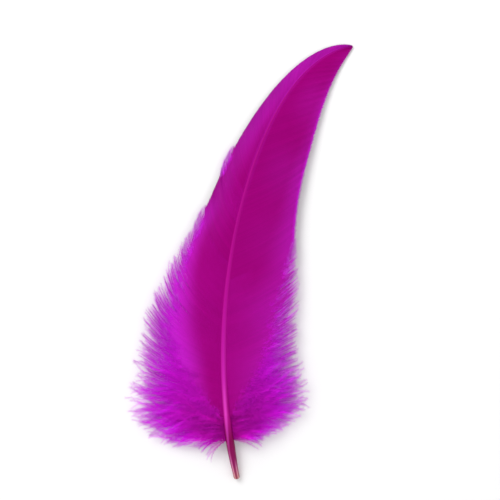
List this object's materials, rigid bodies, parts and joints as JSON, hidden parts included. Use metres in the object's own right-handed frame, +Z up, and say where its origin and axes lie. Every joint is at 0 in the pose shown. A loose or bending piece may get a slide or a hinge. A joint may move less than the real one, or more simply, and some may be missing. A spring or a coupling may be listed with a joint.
{
  "type": "goose quill feather",
  "caption": "Loose dyed goose quill feather: bare round quill, soft down at its base and a curved vane each side of a tapering shaft, lying flat.",
  "frame": {"origin": "centre of the feather's box, on the surface that it lies on", "axes": "+Y from the quill's root to the feather's tip, +X to the wide vane's side, +Z up out of the feather's upper face"},
  "size_m": [0.0614, 0.1702, 0.0106],
  "materials": {
    "vane": "dyed magenta barbs, zipped flat, satin sheen along them",
    "down": "dyed violet-pink down, matt and fluffy, translucent at the ends",
    "quill": "dyed horn, glossy, crimson at the root and bright pink up the shaft"
  },
  "bodies": {
    "root": {"feather": "vane"}
  },
  "joints": []
}
